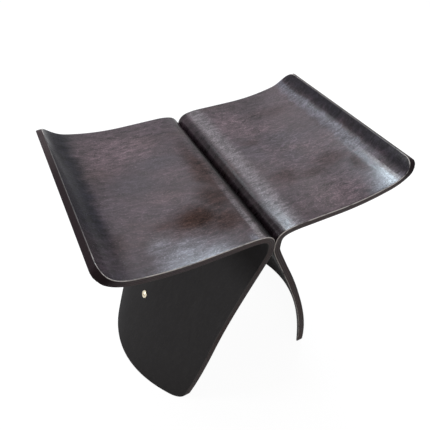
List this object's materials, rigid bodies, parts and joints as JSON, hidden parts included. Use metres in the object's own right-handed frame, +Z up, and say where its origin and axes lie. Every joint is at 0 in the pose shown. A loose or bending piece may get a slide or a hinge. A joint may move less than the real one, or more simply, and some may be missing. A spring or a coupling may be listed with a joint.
{
  "type": "low wooden stool",
  "caption": "Low stool of two mirrored bent plywood shells bolted back to back, each half a seat with an upturned edge and a bowed leg, tied by a thin brass rod.",
  "frame": {"origin": "centre of the floor footprint, under the line where the two shells meet", "axes": "+X to the right wing, +Y to the back, +Z up from the floor"},
  "size_m": [0.4416, 0.295, 0.3996],
  "materials": {
    "plywood": "dark stained face veneer under satin lacquer",
    "brass": "satin, lightly brushed"
  },
  "bodies": {
    "root": {"left_shell": "plywood", "right_shell": "plywood", "waist_bolts": "brass", "waist_washers": "brass", "waist_cap_nuts": "brass", "stretcher_rod": "brass", "stretcher_cup_washers": "brass", "stretcher_screws": "brass"}
  },
  "joints": []
}
